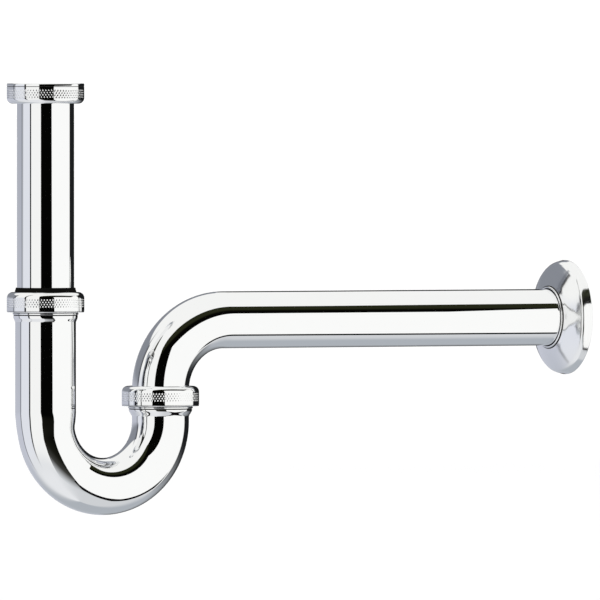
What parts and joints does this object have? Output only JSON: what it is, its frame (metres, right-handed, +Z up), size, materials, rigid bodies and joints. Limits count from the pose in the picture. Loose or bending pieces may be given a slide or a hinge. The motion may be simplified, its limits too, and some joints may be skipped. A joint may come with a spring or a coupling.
{
  "type": "p trap",
  "caption": "Tubular wash basin trap: inlet union and dip tube, U-bend with slip and swivel joints, swan-neck outlet arm and sliding wall escutcheon, in bright chrome.",
  "frame": {"origin": "centre of the inlet union nut's mouth, on the inlet axis", "axes": "+Z up along the inlet axis, +X from the inlet towards the wall; all tube axes lie in the plane Y = 0"},
  "size_m": [0.3607, 0.0648, 0.2419],
  "materials": {
    "chrome": "polished chrome plate on brass",
    "brass": "turned brass",
    "black_rubber": "moulded black rubber",
    "friction_ring": "white polyethylene"
  },
  "bodies": {
    "inlet": {"inlet_tube": "chrome", "inlet_collar": "brass", "inlet_washer": "black_rubber"},
    "inlet_ring": {"inlet_friction_ring": "friction_ring"},
    "inlet_union": {"inlet_nut": "chrome"},
    "seal": {"slip_seal": "black_rubber"},
    "trap": {"trap_bend": "chrome", "inlet_ferrule": "chrome", "outlet_ferrule": "chrome", "outlet_washer": "black_rubber"},
    "slip_ring": {"slip_friction_ring": "friction_ring"},
    "slip_union": {"slip_nut": "chrome"},
    "arm": {"outlet_arm": "chrome", "outlet_collar": "brass"},
    "outlet_ring": {"outlet_friction_ring": "friction_ring"},
    "outlet_union": {"outlet_nut": "chrome"},
    "grip": {"escutcheon_grip_ring": "black_rubber"},
    "rosette": {"escutcheon": "chrome"}
  },
  "joints": [
    {"name": "inlet_nut_slide", "type": "slide", "parent": "inlet", "child": "inlet_ring", "axis": [0, 0, -1], "range_m": [0, 0.092]},
    {"name": "inlet_nut_spin", "type": "hinge", "parent": "inlet_ring", "child": "inlet_union", "pos_m": [0, 0, -0.006], "axis": [0, 0, 1], "continuous": true},
    {"name": "height_adjust", "type": "slide", "parent": "inlet", "child": "seal", "axis": [0, 0, 1], "range_m": [-0.04, 0.0035]},
    {"name": "trap_swivel", "type": "hinge", "parent": "seal", "child": "trap", "pos_m": [0, 0, -0.12], "axis": [0, 0, 1], "continuous": true},
    {"name": "slip_nut_lift", "type": "slide", "parent": "trap", "child": "slip_ring", "axis": [0, 0, 1], "range_m": [0, 0.00695]},
    {"name": "slip_nut_turn", "type": "hinge", "parent": "slip_ring", "child": "slip_union", "pos_m": [0, 0, -0.122], "axis": [0, 0, 1], "range_deg": [0, 1080]},
    {"name": "arm_swivel", "type": "hinge", "parent": "trap", "child": "arm", "pos_m": [0.0725, 0, -0.175], "axis": [0, 0, 1], "range_deg": [-125, 125]},
    {"name": "outlet_nut_lift", "type": "slide", "parent": "trap", "child": "outlet_ring", "axis": [0, 0, 1], "range_m": [0, 0.0035]},
    {"name": "outlet_nut_turn", "type": "hinge", "parent": "outlet_ring", "child": "outlet_union", "pos_m": [0.0725, 0, -0.175], "axis": [0, 0, 1], "range_deg": [0, 540]},
    {"name": "escutcheon_slide", "type": "slide", "parent": "arm", "child": "grip", "axis": [-1, 0, 0], "range_m": [0, 0.2]},
    {"name": "escutcheon_turn", "type": "hinge", "parent": "grip", "child": "rosette", "pos_m": [0.325, 0, -0.133], "axis": [1, 0, 0], "continuous": true}
  ],
  "couplings": [
    {"joint": "slip_nut_lift", "follows": "slip_nut_turn", "m_per_rad": 0.0003675},
    {"joint": "outlet_nut_lift", "follows": "outlet_nut_turn", "m_per_rad": 0.0003675}
  ]
}
